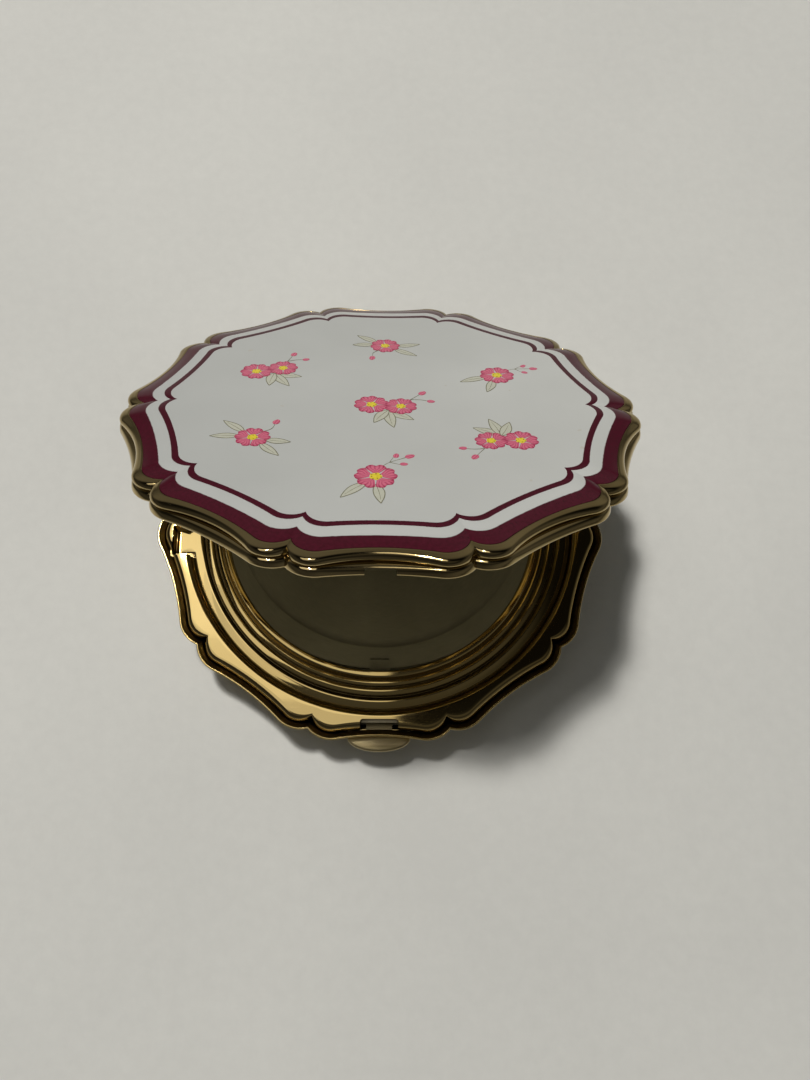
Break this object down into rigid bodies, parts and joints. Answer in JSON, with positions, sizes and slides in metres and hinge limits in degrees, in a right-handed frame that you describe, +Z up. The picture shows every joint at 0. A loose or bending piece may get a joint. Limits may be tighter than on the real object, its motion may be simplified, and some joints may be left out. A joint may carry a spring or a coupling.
{
  "type": "folding compact mirror",
  "caption": "Scalloped gold-tone folding compact with an enamelled floral lid, a round mirror in a grooved ring, a back hinge and a push catch.",
  "frame": {"origin": "middle of the flat underside of the base", "axes": "+Z up, +X along the hinge pin, -Y towards the push catch at the front"},
  "size_m": [0.0808, 0.082, 0.0559],
  "materials": {
    "polished_gold": "polished gold-tone plate with fine handling scratches",
    "satin_gold": "satin gold-tone",
    "plain_brass": "plain brass, as stamped",
    "spring_steel": "drawn spring steel",
    "printed_enamel": "glossy white enamel with plum borders and small pink flower sprigs",
    "silvered_glass": "flat silvered glass",
    "grey_card": "thin grey card"
  },
  "bodies": {
    "base": {"base_shell": "polished_gold", "base_frame": "polished_gold", "mirror_ring": "polished_gold", "mirror_glass": "silvered_glass", "mirror_backing_card": "grey_card", "mirror_back_plate": "plain_brass", "base_hinge_leaf": "plain_brass", "hinge_pin": "spring_steel", "catch_guide": "plain_brass", "catch_strap": "plain_brass", "strap_rivets": "plain_brass", "catch_spring": "spring_steel"},
    "catch": {"thumb_button": "satin_gold", "catch_slide": "plain_brass", "button_rivets": "plain_brass"},
    "lid": {"lid_shell": "polished_gold", "enamel_plaque": "printed_enamel", "lid_liner": "satin_gold", "lid_hinge_leaf": "plain_brass", "lid_catch_hook": "plain_brass", "hook_rivets": "plain_brass"}
  },
  "joints": [
    {"name": "lid_hinge", "type": "hinge", "parent": "base", "child": "lid", "pos_m": [0, 0.0393, 0.0063], "axis": [-1, 0, 0], "range_deg": [-35.8, 69.2]},
    {"name": "catch_press", "type": "slide", "parent": "base", "child": "catch", "axis": [0, 1, 0], "range_m": [0, 0.0008], "stiffness_N_per_m": 500, "springref_m": -0.0015, "deforming": ["catch_spring"]}
  ]
}
